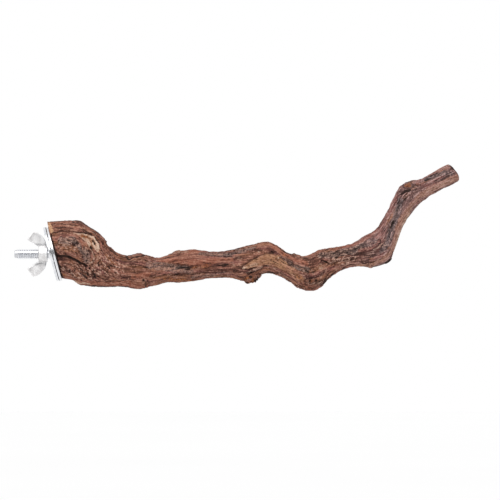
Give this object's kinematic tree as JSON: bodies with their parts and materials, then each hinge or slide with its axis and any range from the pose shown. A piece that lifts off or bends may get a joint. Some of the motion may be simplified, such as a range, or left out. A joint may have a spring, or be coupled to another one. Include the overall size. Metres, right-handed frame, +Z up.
{
  "type": "bird perch",
  "caption": "Gnarled natural vine-wood bird perch whose sawn end carries a hanger bolt, fender washers and a wing nut that clamp it to the bars of a cage.",
  "frame": {"origin": "where the stud's axis crosses the clamping plane, between the two washers", "axes": "+X along the stud into the branch, +Z up, -Y towards the picture's viewer"},
  "size_m": [0.2491, 0.0335, 0.0707],
  "materials": {
    "vine_bark": "rough bark",
    "plated_bolt": "bright zinc plate",
    "plated_washer": "bright zinc plate",
    "plated_nut": "satin zinc plate"
  },
  "bodies": {
    "perch": {"branch": "vine_bark", "hanger_bolt": "plated_bolt"},
    "inner_washer": {"inner_washer": "plated_washer"},
    "outer_washer": {"outer_washer": "plated_washer"},
    "wing_nut": {"wing_nut": "plated_nut"}
  },
  "joints": [
    {"name": "outer_washer_slide", "type": "slide", "parent": "perch", "child": "outer_washer", "axis": [-1, 0, 0], "range_m": [0, 0.01701]},
    {"name": "wing_nut_spin", "type": "hinge", "parent": "outer_washer", "child": "wing_nut", "pos_m": [0, 0, 0], "axis": [-1, 0, 0], "range_deg": [0, 6120]},
    {"name": "inner_washer_spin", "type": "hinge", "parent": "perch", "child": "inner_washer", "pos_m": [0.0008, 0, 0], "axis": [-0.9686, 0, -0.2487], "continuous": true}
  ],
  "couplings": [
    {"joint": "outer_washer_slide", "follows": "wing_nut_spin", "m_per_rad": 0.00015915}
  ]
}
